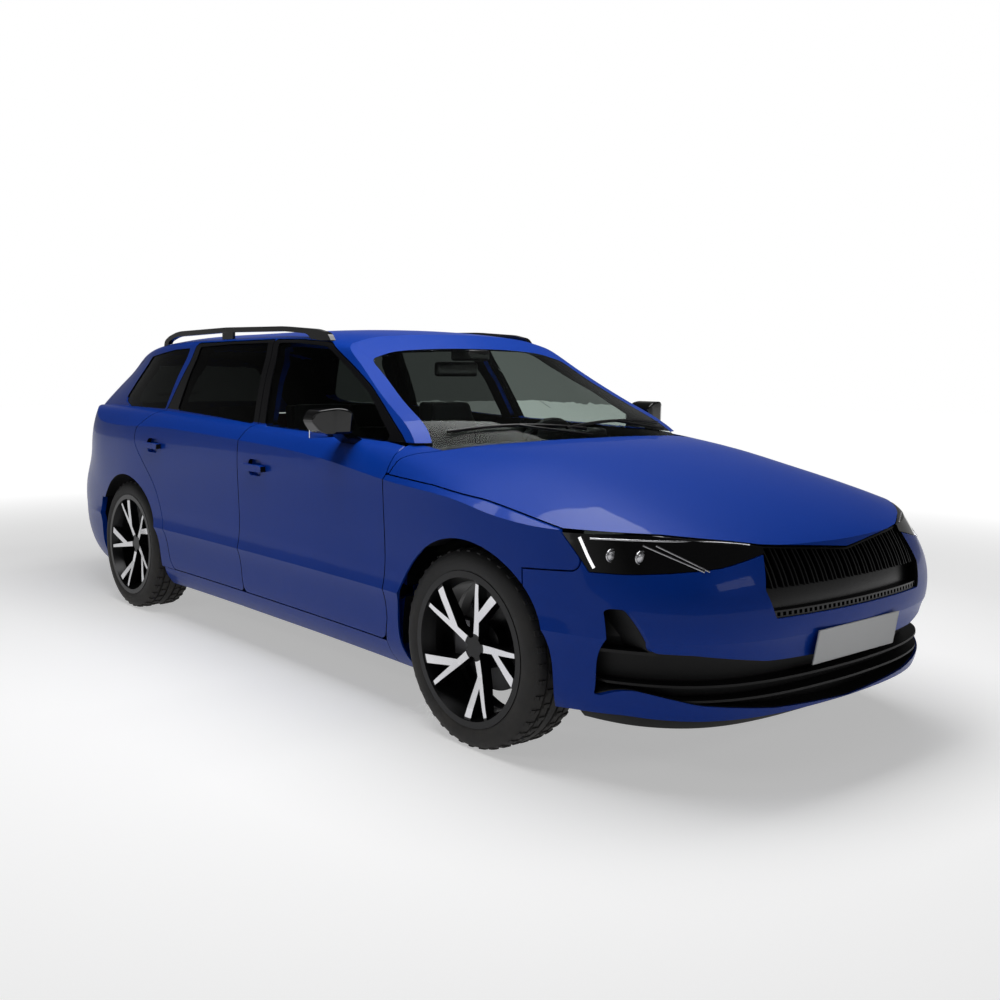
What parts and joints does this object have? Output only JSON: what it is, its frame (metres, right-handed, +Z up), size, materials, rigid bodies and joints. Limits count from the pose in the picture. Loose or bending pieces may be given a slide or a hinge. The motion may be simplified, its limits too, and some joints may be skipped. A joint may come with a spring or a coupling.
{
  "type": "station wagon",
  "caption": "Family station wagon with opening doors, bonnet and tailgate, steered front wheels, hollow cabin with seats and a flat load floor.",
  "frame": {"origin": "on the floor, midway along the car and on its middle plane", "axes": "+X forward, +Y to the left of the car, +Z up"},
  "size_m": [4.6966, 2.0022, 1.449],
  "materials": {
    "blue_paint": "metallic blue gloss",
    "black_gloss": "gloss black",
    "black_plastic": "grained black",
    "tinted_glass": "dark tint",
    "clear_glass": "clear",
    "lamp": "dark headlamp",
    "red_lamp": "red lens",
    "tyre": "rubber",
    "wheel": "machined and dark painted",
    "steel": "dark steel",
    "seat_fabric": "black cloth",
    "trim": "soft dark grey",
    "floor_metal": "dark underbody"
  },
  "bodies": {
    "body": {"floor_pan": "floor_metal", "body_side_right": "blue_paint", "body_side_left": "blue_paint", "roof": "blue_paint", "windscreen": "clear_glass", "quarter_glasses": "tinted_glass", "front_wings": "blue_paint", "front_bumper": "blue_paint", "headlamps": "lamp", "front_grille": "black_gloss", "lower_grille": "black_gloss", "front_undertray": "black_plastic", "rear_bumper": "blue_paint", "tail_lamps": "red_lamp", "cowl": "black_plastic", "front_structure": "floor_metal", "front_subframe": "steel", "struts": "steel", "rear_axle": "steel", "front_seats": "seat_fabric", "rear_bench": "seat_fabric", "dashboard": "trim", "roof_rails": "black_gloss", "engine": "steel", "exhaust": "steel"},
    "door_front_right": {"door_front_right": "blue_paint", "glass_front_right": "clear_glass", "mirror_right": "black_gloss"},
    "door_rear_right": {"door_rear_right": "blue_paint", "glass_rear_right": "tinted_glass"},
    "door_front_left": {"door_front_left": "blue_paint", "glass_front_left": "clear_glass", "mirror_left": "black_gloss"},
    "door_rear_left": {"door_rear_left": "blue_paint", "glass_rear_left": "tinted_glass"},
    "bonnet": {"bonnet": "blue_paint"},
    "tailgate": {"tailgate": "blue_paint", "tailgate_glass": "tinted_glass", "tailgate_lamps": "red_lamp"},
    "knuckle_right": {"knuckle_right": "steel"},
    "knuckle_left": {"knuckle_left": "steel"},
    "wheel_front_right": {"tyre_front_right": "tyre", "rim_front_right": "wheel"},
    "wheel_front_left": {"tyre_front_left": "tyre", "rim_front_left": "wheel"},
    "wheel_rear_right": {"tyre_rear_right": "tyre", "rim_rear_right": "wheel"},
    "wheel_rear_left": {"tyre_rear_left": "tyre", "rim_rear_left": "wheel"},
    "steering_wheel": {"steering_wheel": "trim"}
  },
  "joints": [
    {"name": "door_front_right_hinge", "type": "hinge", "parent": "body", "child": "door_front_right", "pos_m": [1.07787, -0.85981, 0.58], "axis": [0, 0, 1], "range_deg": [0, 65]},
    {"name": "door_rear_right_hinge", "type": "hinge", "parent": "body", "child": "door_rear_right", "pos_m": [-0.00996, -0.85981, 0.58], "axis": [0, 0, 1], "range_deg": [0, 65]},
    {"name": "door_front_left_hinge", "type": "hinge", "parent": "body", "child": "door_front_left", "pos_m": [1.07787, 0.85981, 0.58], "axis": [0, 0, -1], "range_deg": [0, 65]},
    {"name": "door_rear_left_hinge", "type": "hinge", "parent": "body", "child": "door_rear_left", "pos_m": [-0.00996, 0.85981, 0.58], "axis": [0, 0, -1], "range_deg": [0, 65]},
    {"name": "bonnet_hinge", "type": "hinge", "parent": "body", "child": "bonnet", "pos_m": [1.04461, 0, 0.9251], "axis": [0, -1, 0], "range_deg": [0, 55]},
    {"name": "tailgate_hinge", "type": "hinge", "parent": "body", "child": "tailgate", "pos_m": [-1.5929, 0, 1.36615], "axis": [0, 1, 0], "range_deg": [0, 70]},
    {"name": "steer_right", "type": "hinge", "parent": "body", "child": "knuckle_right", "pos_m": [1.469, -0.705, 0.2], "axis": [0, 0.1908, 0.9816], "range_deg": [-34, 34]},
    {"name": "steer_left", "type": "hinge", "parent": "body", "child": "knuckle_left", "pos_m": [1.469, 0.705, 0.2], "axis": [0, -0.1908, 0.9816], "range_deg": [-34, 34]},
    {"name": "steering_wheel_spin", "type": "hinge", "parent": "body", "child": "steering_wheel", "pos_m": [0.54233, 0.37, 0.85293], "axis": [-0.9063, 0, 0.4226], "range_deg": [-476, 476]},
    {"name": "wheel_front_right_spin", "type": "hinge", "parent": "knuckle_right", "child": "wheel_front_right", "pos_m": [1.469, -0.7715, 0.328], "axis": [0, 1, 0], "continuous": true},
    {"name": "wheel_front_left_spin", "type": "hinge", "parent": "knuckle_left", "child": "wheel_front_left", "pos_m": [1.469, 0.7715, 0.328], "axis": [0, 1, 0], "continuous": true},
    {"name": "wheel_rear_right_spin", "type": "hinge", "parent": "body", "child": "wheel_rear_right", "pos_m": [-1.217, -0.7715, 0.328], "axis": [0, 1, 0], "continuous": true},
    {"name": "wheel_rear_left_spin", "type": "hinge", "parent": "body", "child": "wheel_rear_left", "pos_m": [-1.217, 0.7715, 0.328], "axis": [0, 1, 0], "continuous": true}
  ],
  "couplings": [
    {"joint": "steer_left", "follows": "steer_right", "ratio": 1},
    {"joint": "steering_wheel_spin", "follows": "steer_right", "ratio": 14}
  ]
}
